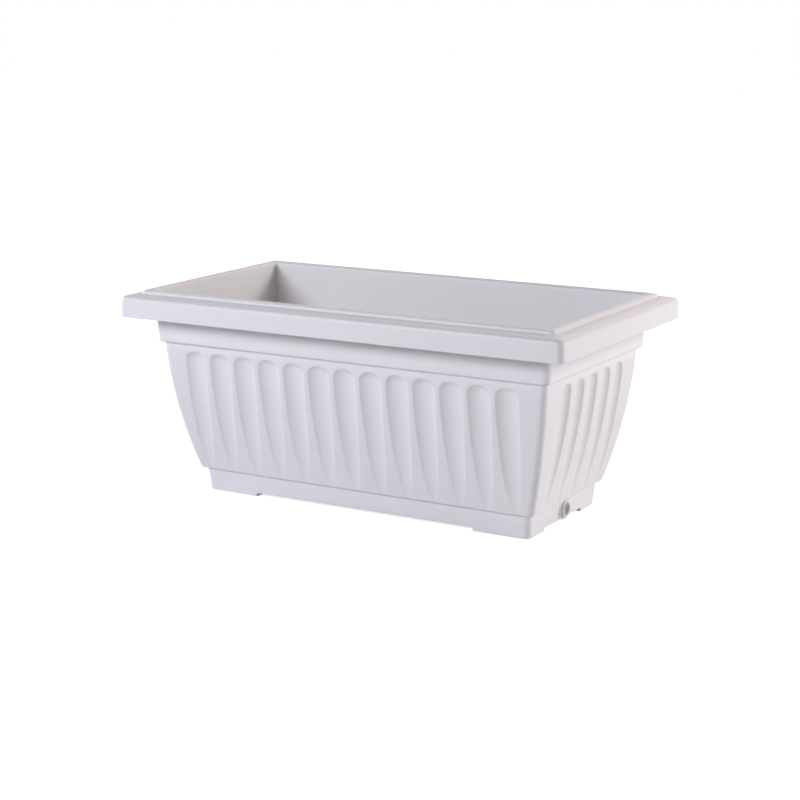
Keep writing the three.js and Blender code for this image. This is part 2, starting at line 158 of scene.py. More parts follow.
class Graph:
    """A node tree under construction."""

    def __init__(self, tree):
        self.tree = tree
        tree.nodes.clear()

    def node(self, kind, settings=None, values=None, output=0):
        """Adds a node, makes its settings, fills its sockets and returns one of its outputs."""
        node = self.tree.nodes.new(kind)
        for name, setting in (settings or {}).items():
            setattr(node, name, setting)
        for key, value in (values or {}).items():
            socket = socket_of(node.inputs, key)
            for item in value if isinstance(value, list) else [value]:
                if isinstance(item, Wire):
                    self.tree.links.new(item.socket, socket)
                else:
                    socket.default_value = item
        return Wire(self, socket_of(node.outputs, output)) if node.outputs else node

    def math(self, operation, *values):
        return self.node("ShaderNodeMath", {"operation": operation}, dict(enumerate(values)))

    def surface(self, shader):
        self.node("ShaderNodeOutputMaterial", values={"Surface": shader})

    def inputs(self, **kinds):
        """Gives a Geometry Nodes tree named inputs and returns their wires by name."""
        for name, kind in kinds.items():
            self.tree.interface.new_socket(name, in_out="INPUT", socket_type=f"NodeSocket{kind}")
        source = self.tree.nodes.new("NodeGroupInput")
        return {name: Wire(self, socket_of(source.outputs, name)) for name in kinds}

    def result(self, geometry, material):
        """Ends a Geometry Nodes tree: its instances become real and get the material."""
        real = self.node("GeometryNodeRealizeInstances", {}, {0: geometry})
        done = self.node("GeometryNodeSetMaterial", {}, {"Geometry": real, "Material": material})
        self.tree.interface.new_socket("Geometry", in_out="OUTPUT",
                                       socket_type="NodeSocketGeometry")
        self.node("NodeGroupOutput", values={0: done})


def geometry_graph(name):
    return Graph(bpy.data.node_groups.new(name, "GeometryNodeTree"))


def new_material(name):
    """A new material and the graph of its tree."""
    material = bpy.data.materials.new(name)
    material.use_nodes = True
    return material, Graph(material.node_tree)


def vector(graph, **parts):
    return graph.node("ShaderNodeCombineXYZ", {}, parts)


def set_on(graph, points, instance):
    return graph.node("GeometryNodeInstanceOnPoints", {}, {"Points": points,
                                                           "Instance": instance})


def point_row(graph, count, spacing, start):
    return graph.node("GeometryNodeMeshLine", {"mode": "OFFSET"}, {
        "Count": count, "Start Location": start, "Offset": vector(graph, X=spacing)})


def point_grid(graph, columns, rows, pitch_x, pitch_y):
    return graph.node("GeometryNodeMeshGrid", {}, {
        "Size X": (columns - 1) * pitch_x, "Size Y": (rows - 1) * pitch_y,
        "Vertices X": columns, "Vertices Y": rows})


print(f"a graph can: {', '.join(name for name in vars(Graph) if name[0] != '_')}")

# %% [markdown]
# ## The plastic
# Polypropylene comes out of the mould with a satin skin. It is nearly white, but never one flat
# white: the melt leaves broad, faint clouds and stretched flow marks, and the tool leaves a fine
# grain. All of it could be one noise, but separate scales let each be as weak as it really is.
# Colour and roughness change by a few parts in a hundred, and the grain is a bump of a tenth of
# a millimetre at a low strength. Object coordinates keep the marks at their real size.

# %% Moulded plastic
CLOUDS_PER_METRE, CLOUD_SHARE = 7.0, 0.65
FLOW_PER_METRE = (46.0, 46.0, 5.0)
GRAIN_PER_METRE, GRAIN_HEIGHT = 950.0, 0.1 * MM
RIPPLE_PER_METRE, RIPPLE_HEIGHT, RIPPLE = 16.0, 0.6 * MM, 0.5
CLOUD_ROUGHNESS, GRAIN_ROUGHNESS = 0.12, 0.08
PLASTIC_IOR = 1.49
NOISE_ROUGHNESS = 0.55


def noise(graph, place, scale, detail=2.0):
    """A noise with so many features to a metre, as a value round 0.5."""
    values = {"Vector": place, "Scale": scale, "Detail": detail, "Roughness": NOISE_ROUGHNESS}
    return graph.node("ShaderNodeTexNoise", {}, values, "Fac")


def mixed_colour(graph, share, first, second):
    return graph.node("ShaderNodeMix", {"data_type": "RGBA"}, {
        "Factor_Float": share, "A_Color": first, "B_Color": second}, "Result_Color")


def bump(graph, strength, distance, height, **below):
    return graph.node("ShaderNodeBump", {}, {"Strength": strength, "Distance": distance,
                                             "Height": height, **below})


def moulded_plastic(name, bright, dull, roughness, grain=0.12):
    """A satin moulded plastic: bright and dull are the two ends of its faint clouding."""
    material, graph = new_material(name)
    place = graph.node("ShaderNodeTexCoord", {}, {}, "Object")
    stretched = graph.node("ShaderNodeMapping", {}, {"Vector": place, "Scale": FLOW_PER_METRE})
    clouds = noise(graph, place, CLOUDS_PER_METRE, 4.0)
    flow = noise(graph, stretched, 1.0, 3.0)
    skin = noise(graph, place, GRAIN_PER_METRE)
    ripple = noise(graph, place, RIPPLE_PER_METRE, 1.0)
    tone = clouds * CLOUD_SHARE + flow * (1 - CLOUD_SHARE)
    matt = roughness + (clouds - 0.5) * CLOUD_ROUGHNESS + (skin - 0.5) * GRAIN_ROUGHNESS
    waves = bump(graph, RIPPLE, RIPPLE_HEIGHT, ripple)
    normal = bump(graph, grain, GRAIN_HEIGHT, skin, Normal=waves)
    shader = graph.node("ShaderNodeBsdfPrincipled", {}, {
        "Base Color": mixed_colour(graph, tone, dull, bright), "Roughness": matt,
        "Normal": normal, "IOR": PLASTIC_IOR})
    graph.surface(shader)
    print(f"material {name}: {len(material.node_tree.nodes)} nodes")
    return material


shell_plastic = moulded_plastic(
    "satin white plastic", (0.86, 0.845, 0.84, 1), (0.82, 0.805, 0.80, 1), 0.46)
plug_plastic = moulded_plastic(
    "white plug plastic", (0.84, 0.825, 0.82, 1), (0.79, 0.775, 0.77, 1), 0.38)
grid_plastic = moulded_plastic(
    "pale grey grid plastic", (0.60, 0.60, 0.615, 1), (0.54, 0.54, 0.56, 1), 0.5, 0.2)

# %% [markdown]
# ## The rubber ring
# The ring behind the plug's flange is black rubber. Rubber bloom, a pale dusting that wanders
# over the surface, is what tells it from black plastic, so a second noise lifts both colour and
# roughness in patches.

# %% Rubber
BLOOM_PER_METRE, PORES_PER_METRE = 260.0, 2600.0
CLEAN_RUBBER, BLOOMED_RUBBER = (0.012, 0.012, 0.013, 1), (0.06, 0.058, 0.056, 1)
RUBBER_ROUGHNESS, BLOOM_ROUGHNESS = 0.55, 0.35
PORES, PORE_HEIGHT = 0.4, 0.1 * MM


def rubber(name):
    material, graph = new_material(name)
    place = graph.node("ShaderNodeTexCoord", {}, {}, "Object")
    bloom = noise(graph, place, BLOOM_PER_METRE, 5.0)
    normal = bump(graph, PORES, PORE_HEIGHT, noise(graph, place, PORES_PER_METRE))
    shader = graph.node("ShaderNodeBsdfPrincipled", {}, {
        "Base Color": mixed_colour(graph, bloom, CLEAN_RUBBER, BLOOMED_RUBBER),
        "Roughness": RUBBER_ROUGHNESS + bloom * BLOOM_ROUGHNESS, "Normal": normal})
    graph.surface(shader)
    print(f"material {name}: {len(material.node_tree.nodes)} nodes")
    return material


seal_rubber = rubber("black rubber")

# %% [markdown]
# ## Helpers for pieces
# A few small helpers serve the rest of the lesson. One makes an object from points and faces.
# One turns whatever modifiers a piece has into a plain mesh, because what is handed on must be
# a mesh and nothing else. One marks as sharp only the edges that really are sharp, so that the
# small rounds between faces catch the light softly. Two more run a tree and join or cut.

# %% Pieces, plain meshes and edges
SHARP_ANGLE = math.radians(33)


def new_piece(name, points, faces):
    mesh = bpy.data.meshes.new(name)
    mesh.from_pydata(points, [], faces)
    piece = bpy.data.objects.new(name, mesh)
    bpy.context.scene.collection.objects.link(piece)
    return piece


def make_plain(piece):
    """Replaces the piece's mesh with what its modifiers make of it."""
    evaluated = piece.evaluated_get(bpy.context.evaluated_depsgraph_get())
    mesh = bpy.data.meshes.new_from_object(evaluated)
    piece.modifiers.clear()
    piece.data = mesh


def smooth_edges(piece):
    piece.data.shade_smooth()
    piece.data.set_sharp_from_angle(angle=SHARP_ANGLE)


def run_tree(piece, graph, values):
    """Runs a Geometry Nodes tree on a piece, with its named inputs set, and keeps the mesh."""
    modifier = piece.modifiers.new(graph.tree.name, "NODES")
    modifier.node_group = graph.tree
    for item in graph.tree.interface.items_tree:
        if item.in_out == "INPUT" and item.name in values:
            modifier[item.identifier] = values[item.name]
    make_plain(piece)


def combine(piece, tool, operation):
    """Joins or cuts a piece with a tool, which is used up."""
    modifier = piece.modifiers.new(operation, "BOOLEAN")
    modifier.operation = operation
    modifier.solver = "MANIFOLD"
    modifier.object = tool
    make_plain(piece)
    bpy.data.objects.remove(tool)


# %% [markdown]
# ## Rounded corners on any path
# A moulding has no sharp corners, because melt doesn't flow round them. The section of the wall
# is therefore drawn as corners, each with the radius of its round, and one function turns the
# corners into points. It sets a point just before and just after each round as well: a smooth
# shader spreads the turn of a round over the next face, and the extra points keep flat faces
# flat. Bevelling the finished mesh would also round the edges, but not each by its own radius.

# %% Rounding a path
ARC_STEP = math.radians(22)
FLAT_GUARD, ROOM_FOR_GUARD = 0.7 * MM, 2.8 * MM


def arc(centre, start, end):
    """Points from start to end round the centre, the short way."""
    first, last = start - centre, end - centre
    turn = math.atan2(first.cross(last), first.dot(last))
    steps = max(3, math.ceil(abs(turn) / ARC_STEP))
    turns = [Matrix.Rotation(turn * i / steps, 2) for i in range(steps + 1)]
    return [centre + turned @ first for turned in turns]


def rounded(corners):
    """The path through corners of (offset, height, radius), in metres."""
    path = [Vector(corners[0][:2])]
    for before, (across, height, radius), after in zip(corners, corners[1:], corners[2:]):
        corner = Vector((across, height))
        back = (Vector(before[:2]) - corner).normalized()
        onward = (Vector(after[:2]) - corner).normalized()
        half = back.angle(onward) / 2
        reach = radius / math.tan(half)
        if not radius:
            path.append(corner)
            continue
        centre = corner + (back + onward).normalized() * radius / math.sin(half)
        points = arc(centre, corner + back * reach, corner + onward * reach)
        if (Vector(before[:2]) - corner).length > reach + ROOM_FOR_GUARD:
            path.append(corner + back * (reach + FLAT_GUARD))
        path.extend(points)
        if (Vector(after[:2]) - corner).length > reach + ROOM_FOR_GUARD:
            path.append(corner + onward * (reach + FLAT_GUARD))
    path.append(Vector(corners[-1][:2]))
    return path


example = rounded([(0, 0, 0), (0, 10 * MM, 2 * MM), (10 * MM, 10 * MM, 0)])
print(f"one rounded right angle: {len(example)} points")

# %% [markdown]
# ## The section of the wall
# Long sides and ends have the same section, so the whole shell is one section carried round the
# planter. Each point of it is an offset, the distance in from the outer edge of the rim, and a
# height. From the underside it runs up the plinth, under the body, up the curved wall, out
# under the neck, up behind the rim, down and up the hanging skirt, over the ledge and the bead,
# and down the inside to the floor. The sizes are those of the frame, but for the slope of the
# ledge, the height of the neck's foot and a millimetre here and there, which a closer look at
# the picture asked for.

# %% Sizes of the section
WALL = 3 * MM
SKIRT_FOOT, LEDGE_TOP, BEAD_TOP = 225.5 * MM, 251.5 * MM, HEIGHT
BEAD_OUTER, BEAD_INNER = 19.5 * MM, 30.6 * MM
LEDGE_EDGE, LEDGE_CREASE = LEDGE_TOP - 0.6 * MM, LEDGE_TOP + 1.6 * MM
NECK_OFFSET, NECK_FOOT_OFFSET, NECK_FOOT = 30.9 * MM, 32.1 * MM, 192.3 * MM
BODY_TOP, BODY_FOOT = 186 * MM, 30 * MM
BODY_OFFSETS = (37.8 * MM, 43.6 * MM, 66.6 * MM)
PLINTH_TOP, PLINTH_TOP_OFFSET, PLINTH_FOOT_OFFSET = 29 * MM, 72.4 * MM, 75.3 * MM
FOOT_HEIGHT = 4.4 * MM
FLOOR_TOP = 6.6 * MM
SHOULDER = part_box("reservoir_grid")[1].z - 2.8 * MM


def wall_offset(height):
    """How far in the curved wall lies at a height: a quadratic curve through three offsets."""
    t = (BODY_TOP - height) / (BODY_TOP - BODY_FOOT)
    top, belly, foot = BODY_OFFSETS
    return (1 - t) ** 2 * top + 2 * t * (1 - t) * belly + t * t * foot


print(f"the wall draws in by {(wall_offset(BODY_FOOT) - wall_offset(BODY_TOP)) / MM:.1f} mm")

# %% [markdown]
# ## Where the flutes are
# A flute is what a round-nosed cutter leaves when it is drawn down the wall: a groove with a
# round head. Here it also fades out towards the plinth, slowly at first and then faster, and
# the flutes of the ends are narrower than those of the long sides. Radius and depth decide the
# width at every height, and the width is needed twice: to set the mesh's lines along the edges
# of the grooves, and in the tree that presses the grooves in.

# %% Sizes of the flutes
PITCH = 35.6 * MM
FLUTES = {"side": 13, "end": 5}
FLUTE_RADIUS = {"side": 25 * MM, "end": 17 * MM}
FLUTE_NOSE = {"side": 0.75, "end": 0.95}
FLUTE_DEPTH = 5 * MM
FLUTE_HEAD, FLUTE_FOOT = 172.5 * MM, 29 * MM
FLUTE_SOFTNESS = 0.7 * MM
SECTION_POWER = 2.6
FLUTE_FADE = 1.75
NARROWEST = 4.5 * MM


def groove_half_width(height, side, grown):
    """Half the width of a groove at a height; grown moves its surface out, for the inside."""
    share = min(1, max(0, (height - FLUTE_FOOT) / (FLUTE_HEAD - FLUTE_FOOT)))
    depth = FLUTE_DEPTH * (1 - (1 - share) ** FLUTE_FADE)
    radius = FLUTE_RADIUS[side] + grown
    above = max(0, height - FLUTE_HEAD) / FLUTE_NOSE[side]
    square = 2 * radius * depth - depth ** 2 - above ** 2
    return math.sqrt(max(NARROWEST ** 2, square))


for side in FLUTES:
    print(f"{side} flutes: {2 * groove_half_width(FLUTE_HEAD, side, 0) / MM:.1f} mm wide")

# %% [markdown]
# ## Rows of the shell
# The rows of the mesh follow the section. On the fluted wall they are close together round the
# heads of the flutes, at even angles of the half circle, and far apart below, where little
# changes. Each row knows its offset, height and corner radius, and whether it lies on the
# fluted skin, outside (0) or inside (1), or on neither (-1).

# %% Rows of the fluted wall
WALL_STEP = (8 * MM, 12 * MM)
HEAD_ANGLES = range(0, 91, 10)
OUTER_CORNER, INNER_CORNER = 7.5 * MM, 4 * MM
WALL_FOOT, WALL_TOP = 36 * MM, 185.4 * MM


def wall_heights(skin):
    """Heights of the rows on the fluted wall, outside (0) or inside (1), from the foot up."""
    step = WALL_STEP[skin]
    lower = [WALL_FOOT + step * i for i in range(int((FLUTE_HEAD - WALL_FOOT) / step))]
    reach = groove_half_width(FLUTE_HEAD, "end", skin * WALL) * FLUTE_NOSE["end"]
    head = [FLUTE_HEAD + reach * math.sin(math.radians(angle)) for angle in HEAD_ANGLES]
    return [*lower, *head, WALL_TOP]


def wall_rows(skin, corner):
    return [(wall_offset(z) + skin * WALL, z, corner, skin) for z in wall_heights(skin)]


def rows_of(path, corner):
    return [(point.x, point.y, corner, -1) for point in path]


print(f"fluted wall: {len(wall_heights(0))} rows outside, {len(wall_heights(1))} inside")

# %% [markdown]
# ## The rows outside
# Two rounded paths take the fluted wall between them: the base, and everything from the neck
# over the rim to the mouth. The upright corners are rounder outside than inside, so on the
# upper side of the rim the radius shrinks towards the mouth.

# %% Outer rows
def outer_corner(offset, height):
    """The corner radius outside, which gets smaller across the upper side of the rim."""
    share = min(1, offset / BEAD_INNER) if height > LEDGE_EDGE - 2 * WALL else 0
    return OUTER_CORNER + (INNER_CORNER - OUTER_CORNER) * share


def outer_rows():
    base = rounded([
        (PLINTH_FOOT_OFFSET + 3 * MM, 0, 0),
        (PLINTH_FOOT_OFFSET, 0, 0.7 * MM),
        (PLINTH_TOP_OFFSET, PLINTH_TOP, 0.6 * MM),
        (wall_offset(PLINTH_TOP), PLINTH_TOP + 0.1 * MM, 3.6 * MM),
        (wall_offset(WALL_FOOT), WALL_FOOT, 0),
    ])
    neck = rounded([
        (wall_offset(WALL_TOP), WALL_TOP, 0),
        (BODY_OFFSETS[0] - 0.1 * MM, NECK_FOOT, 0.4 * MM),
        (NECK_FOOT_OFFSET, NECK_FOOT, 3.2 * MM),
        (NECK_OFFSET, SKIRT_FOOT, 30 * MM),
        (BEAD_INNER - WALL, BEAD_TOP - WALL, 2.6 * MM),
        (BEAD_OUTER + 2.6 * MM, BEAD_TOP - WALL, 1.6 * MM),
        (BEAD_OUTER + 1.6 * MM, LEDGE_CREASE - WALL, 1 * MM),
        (WALL, LEDGE_EDGE - WALL, 2 * MM),
        (WALL - 0.3 * MM, SKIRT_FOOT, 0.7 * MM),
        (0, SKIRT_FOOT, 0.8 * MM),
        (0.85 * MM, LEDGE_EDGE, 5 * MM),
        (BEAD_OUTER - 1.3 * MM, LEDGE_CREASE, 0.5 * MM),
        (BEAD_OUTER, LEDGE_CREASE - 0.9 * MM, 0.3 * MM),
        (BEAD_OUTER + 0.5 * MM, BEAD_TOP, 3.8 * MM),
        (BEAD_INNER, BEAD_TOP, 4.6 * MM),
        (NECK_OFFSET + 2.4 * MM, SKIRT_FOOT, 160 * MM),
    ])
    upper = [(point.x, point.y, outer_corner(*point), -1) for point in neck[1:-1]]
    return [*rows_of(base[:-1], OUTER_CORNER), *wall_rows(0, OUTER_CORNER), *upper]


print(f"outside: {len(outer_rows())} rows")

# %% [markdown]
# ## The rows inside
# Inside, the mouth leads down to the fluted wall, and the basin below it has the shoulder that
# carries the grid. Behind the foot of the neck the step is softer than outside.

# %% Inner rows
def inner_rows():
    mouth = rounded([
        (BEAD_INNER, BEAD_TOP, 0),
        (NECK_OFFSET + 2.4 * MM, SKIRT_FOOT, 160 * MM),
        (NECK_FOOT_OFFSET + WALL, NECK_FOOT + 4 * MM, 3 * MM),
        (BODY_OFFSETS[0] + WALL - 0.1 * MM, NECK_FOOT - 2 * MM, 3 * MM),
        (wall_offset(WALL_TOP) + WALL, FLUTE_HEAD, 0),
    ])
    basin = rounded([
        (wall_offset(WALL_FOOT) + WALL, WALL_FOOT, 0),
        (wall_offset(SHOULDER) + WALL, SHOULDER, 1 * MM),
        (PLINTH_TOP_OFFSET + WALL, SHOULDER, 0.8 * MM),
        (PLINTH_FOOT_OFFSET + WALL - 0.4 * MM, FLOOR_TOP, 1.6 * MM),
        (PLINTH_FOOT_OFFSET + WALL + 4 * MM, FLOOR_TOP, 0),
    ])
    wall = wall_rows(1, INNER_CORNER)[:-1]
    return [*rows_of(mouth[1:-1], INNER_CORNER), *reversed(wall),
            *rows_of(basin[1:], INNER_CORNER)]


rows = [*outer_rows(), *inner_rows()]
print(f"rows: {len(rows)}, {sum(skin >= 0 for *_, skin in rows)} of them on the fluted wall")

# %% [markdown]
# ## Columns of the shell
# Round the planter, the columns of the mesh stand in upright planes: fine ones round each
# corner, and on each side a set for every flute, which spreads and narrows with the groove.
# A groove gets a line along each edge and one close to it on both sides, so that the soft edge
# has its own faces. Where a row is too short for its columns, they draw together.

# %% Columns
CORNER_STEPS = 8
EDGE_GUARD = 0.9 * MM
MARGIN_GUARD, COLUMN_GAP = 1.5 * MM, 0.3 * MM
GROOVE_SHARES = (0, 0.45, 0.8)


def flute_columns(half_width):
    """Columns of one flute, as distances from its middle line."""
    right = [share * half_width for share in GROOVE_SHARES]
    right += [half_width - EDGE_GUARD, half_width, half_width + EDGE_GUARD]
    return [-run for run in reversed(right[1:])] + right


def side_columns(half_length, flutes, half_width):
    """Columns along one side, as distances from its middle."""
    last = (flutes - 1) / 2
    columns = []
    for i in range(flutes):
        middle = (i - last) * PITCH
        columns += [middle + run for run in flute_columns(half_width)]
        columns += [middle + PITCH / 2] if i < flutes - 1 else []
    room = half_length - MARGIN_GUARD
    squeeze = min(1, (room - COLUMN_GAP) / columns[-1])
    return [-room, *(run * squeeze for run in columns), room]


def ring(offset, height, corner, skin):
    """One row of points round the planter: place, run along the side, side and inward."""
    half_x = LENGTH / 2 - offset - corner
    half_y = WIDTH / 2 - offset - corner
    for quarter in range(4):
        side = "side" if quarter % 2 == 0 else "end"
        along, out = (half_x, half_y) if side == "side" else (half_y, half_x)
        width = groove_half_width(height, side, skin * WALL) if skin >= 0 else NARROWEST
        facing = Matrix.Rotation(quarter * math.pi / 2, 3, "Z")
        for step in range(CORNER_STEPS + 1):
            angle = step / CORNER_STEPS * math.pi / 2
            point = (along + corner * math.cos(angle), out + corner * math.sin(angle), height)
            yield facing @ Vector(point), 0, side, Vector()
        for run in side_columns(along, FLUTES[side], width):
            point = Vector((-run, out + corner, height))
            yield facing @ point, run, side, facing @ Vector((0, -1, 0))


columns = len(list(ring(BODY_OFFSETS[0], FLUTE_HEAD, OUTER_CORNER, 0)))
print(f"columns: {columns}, triangles: about {2 * columns * len(rows)}")

# %% [markdown]
# ## The blank
# The blank is the shell before its flutes: a grid of faces between the rows and the columns,
# closed with one face under the floor and one on top of it. What the flutes need to know is
# kept on the points as attributes, so that the tree can work on any part of the mesh at once.

# %% Build the blank
def shell_blank():
    points, run, end, inward, skins = [], [], [], [], []
    for offset, height, corner, skin in rows:
        for point, along, side, normal in ring(offset, height, corner, skin):
            points.append(point)
            run.append(along)
            end.append(side == "end")
            inward.extend(normal)
            skins.append(skin)
    count = len(points) // len(rows)
    faces = [tuple(reversed(range(count))), tuple(range(len(points) - count, len(points)))]
    for row in range(len(rows) - 1):
        low = row * count
        for i in range(count):
            after = (i + 1) % count
            faces.append((low + i, low + after, low + count + after, low + count + i))
    blank = new_piece("planter_shell", points, faces)
    for name, values in (("run", run), ("end", end), ("skin", skins)):
        blank.data.attributes.new(name, "FLOAT", "POINT").data.foreach_set("value", values)
    vectors = blank.data.attributes.new("inward", "FLOAT_VECTOR", "POINT")
    vectors.data.foreach_set("vector", inward)
    print(f"blank: {len(points)} points, {len(faces)} faces")
    return blank


planter_shell = shell_blank()

# %% [markdown]
# ## Pressing in the flutes
# Each flute could be cut with a tool, one boolean after another, but the cut would leave hard
# edges. The flutes follow a rule, so Geometry Nodes move the points instead. A point finds the
# nearest flute from its run along the side, works out how far across the groove it lies, as a
# share of the half width, and moves in by the depth there. A power above two makes the floor of
# the groove flatter and its edges steeper than a plain round, as the light in the picture
# shows. A smooth maximum leaves the edge slightly soft. The inner skin uses a radius one wall
# larger, so the wall stays about equally thick behind every flute.

# %% Flutes
def attribute(graph, name, kind="FLOAT"):
    return graph.node("GeometryNodeInputNamedAttribute", {"data_type": kind}, {"Name": name})


def clamped(graph, value, low, high):
    return graph.math("MINIMUM", graph.math("MAXIMUM", value, low), high)


def flute_tree():
    graph = geometry_graph("flutes")
    size = graph.inputs(Geometry="Geometry", Pitch="Float", SideLast="Float", EndLast="Float",
                        SideRadius="Float", EndRadius="Float", SideNose="Float",
                        EndNose="Float", Depth="Float", Head="Float", Foot="Float",
                        Fade="Float", Wall="Float", Power="Float", Softness="Float",
                        Material="Material")
    run, end, skin = (attribute(graph, name) for name in ("run", "end", "skin"))
    last, nose, radius = (size["Side" + name] + (size["End" + name] - size["Side" + name]) * end
                          for name in ("Last", "Nose", "Radius"))
    radius = radius + size["Wall"] * skin
    position = graph.node("GeometryNodeInputPosition")
    height = graph.node("ShaderNodeSeparateXYZ", {}, {0: position}, "Z")
    nearest = clamped(graph, graph.math("ROUND", run / size["Pitch"]), 0 - last, last)
    aside = run - nearest * size["Pitch"]
    above = graph.math("MAXIMUM", height - size["Head"], 0.0) / nose
    share = (height - size["Foot"]) / (size["Head"] - size["Foot"])
    left = (1 - clamped(graph, share, 0.001, 1.0)) ** size["Fade"]
    depth = (1 - left) * size["Depth"]
    half_width = graph.math("SQRT", depth * radius * 2 - depth * depth)
    across = graph.math("SQRT", aside * aside + above * above) / half_width
    reach = depth * (1 - across ** size["Power"])
    soft = graph.math("SMOOTH_MAX", reach, 0.0, size["Softness"] * depth / size["Depth"])
    amount = soft * graph.math("GREATER_THAN", skin, -0.5)
    move = graph.node("ShaderNodeVectorMath", {"operation": "SCALE"},
                      {0: attribute(graph, "inward", "FLOAT_VECTOR"), "Scale": amount})
    moved = graph.node("GeometryNodeSetPosition", {}, {"Geometry": size["Geometry"],
                                                       "Offset": move})
    graph.result(moved, size["Material"])
    return graph


run_tree(planter_shell, flute_tree(), {
    "Pitch": PITCH, "SideLast": (FLUTES["side"] - 1) / 2, "EndLast": (FLUTES["end"] - 1) / 2,
    "SideRadius": FLUTE_RADIUS["side"], "EndRadius": FLUTE_RADIUS["end"],
    "SideNose": FLUTE_NOSE["side"], "EndNose": FLUTE_NOSE["end"], "Depth": FLUTE_DEPTH,
    "Head": FLUTE_HEAD, "Foot": FLUTE_FOOT, "Fade": FLUTE_FADE, "Wall": WALL,
    "Power": SECTION_POWER, "Softness": FLUTE_SOFTNESS, "Material": shell_plastic})
print(f"fluted shell: {len(planter_shell.data.vertices)} points")

# %% [markdown]
# ## Webs under the rim
# The rim is a wide, thin ledge, and it would fold when the full planter is lifted by it. A few
# thin webs between the neck and the hanging skirt stop that. They repeat along every side, so a
# tree sets one web on evenly spaced points, and the result is joined to the shell.

# %% Rim webs
WEB = 2.2 * MM
WEB_SETBACK, WEB_DROP, WEB_RISE = 2.2 * MM, 9 * MM, 4 * MM
WEB_PLACES = {"side": (3, 4 * PITCH), "end": (2, 3 * PITCH)}


def web_tree():
    graph = geometry_graph("rim_webs")
    size = graph.inputs(Geometry="Geometry", Count="Int", Spacing="Float", Setback="Float",
                        Material="Material")
    start = (size["Count"] - 1) * size["Spacing"] * -0.5
    line = point_row(graph, size["Count"], size["Spacing"],
                     vector(graph, X=start, Y=size["Setback"]))
    graph.result(set_on(graph, line, size["Geometry"]), size["Material"])
    return graph


def extruded(name, outline, thickness):
    """A plate of the outline, given as points of Y and Z, standing across X."""
    half = thickness / 2
    points = [(x, y, z) for x in (-half, half) for y, z in outline]
    count = len(outline)
    sides = [(i, (i + 1) % count, count + (i + 1) % count, count + i) for i in range(count)]
    caps = [tuple(reversed(range(count))), tuple(range(count, 2 * count))]
    return new_piece(name, points, sides + caps)


def add_webs(shell):
    graph = web_tree()
    top = LEDGE_CREASE - WALL / 2
    outline = [(-WEB_SETBACK, LEDGE_EDGE - WALL), (-WEB_SETBACK, LEDGE_TOP - WEB_DROP),
               (-NECK_OFFSET - MM, SKIRT_FOOT + WEB_RISE), (-BEAD_INNER + MM, top),
               (-BEAD_OUTER, top), (-2 * WALL, LEDGE_EDGE - WALL / 2)]
    for quarter in range(4):
        count, spacing = WEB_PLACES["side" if quarter % 2 == 0 else "end"]
        out = WIDTH / 2 if quarter % 2 == 0 else LENGTH / 2
        webs = extruded("webs", outline, WEB)
        run_tree(webs, graph, {"Count": count, "Spacing": spacing, "Setback": out,
                               "Material": shell_plastic})
        webs.data.transform(Matrix.Rotation(quarter * math.pi / 2, 4, "Z"))
        combine(shell, webs, "UNION")


add_webs(planter_shell)
print(f"webs: {sum(2 * count for count, _ in WEB_PLACES.values())} under the rim")

# %% [markdown]
# ## Feet and floor
# The planter stands on four low corner feet. They are what is left of the plinth when the
# space under the floor is taken away in both directions, so their outer faces run on from the
# plinth without a step. Shallow pockets on the inside keep the wall over each foot as thin as
# the rest, as in any moulding that must not sink.

# %% Feet
FOOT_LENGTH, FOOT_WIDTH = 72.5 * MM, 40 * MM
BELOW = 5 * MM
POCKET_INSET = PLINTH_FOOT_OFFSET + WALL + 2 * MM


def block(name, low, high):
    """A block between two corners, as a tool to cut with."""
    corners = [(x, y, z) for x in (low[0], high[0]) for y in (low[1], high[1])
               for z in (low[2], high[2])]
    faces = [(0, 1, 3, 2), (4, 6, 7, 5), (0, 4, 5, 1), (2, 3, 7, 6), (0, 2, 6, 4), (1, 5, 7, 3)]
    return new_piece(name, corners, faces)


def cut_feet(shell):
    gap_x = LENGTH / 2 - PLINTH_FOOT_OFFSET - FOOT_LENGTH
    gap_y = WIDTH / 2 - PLINTH_FOOT_OFFSET - FOOT_WIDTH
    for half_x, half_y in ((gap_x, WIDTH), (LENGTH, gap_y)):
        relief = block("relief", (-half_x, -half_y, -BELOW), (half_x, half_y, FOOT_HEIGHT))
        combine(shell, relief, "DIFFERENCE")


def cut_pockets(shell):
    near_x, near_y = LENGTH / 2 - POCKET_INSET, WIDTH / 2 - POCKET_INSET
    far_x, far_y = near_x - FOOT_LENGTH + 4 * WALL, near_y - FOOT_WIDTH + 4 * WALL
    for sx in (-1, 1):
        for sy in (-1, 1):
            xs, ys = sorted((sx * near_x, sx * far_x)), sorted((sy * near_y, sy * far_y))
            pocket = block("pocket", (xs[0], ys[0], WALL), (xs[1], ys[1], FLOOR_TOP + MM))
            combine(shell, pocket, "DIFFERENCE")


cut_feet(planter_shell)
cut_pockets(planter_shell)
print(f"feet: {FOOT_LENGTH / MM:.1f} x {FOOT_WIDTH / MM:.0f} mm, {FOOT_HEIGHT / MM:.1f} mm high")

# %% [markdown]
# ## Turned shapes
# Everything at the drain is round, so it is turned: a profile of radius and X is spun about
# the drain's axis. A Screw modifier could do it, but a few lines that place the points leave
# nothing to tidy except the doubled points on the axis.

# %% Turned shapes
DRAIN_HEIGHT = sum(corner.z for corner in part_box("drain_plug")) / 2
TURNED_STEPS = 72
MERGE_DISTANCE = 0.001 * MM


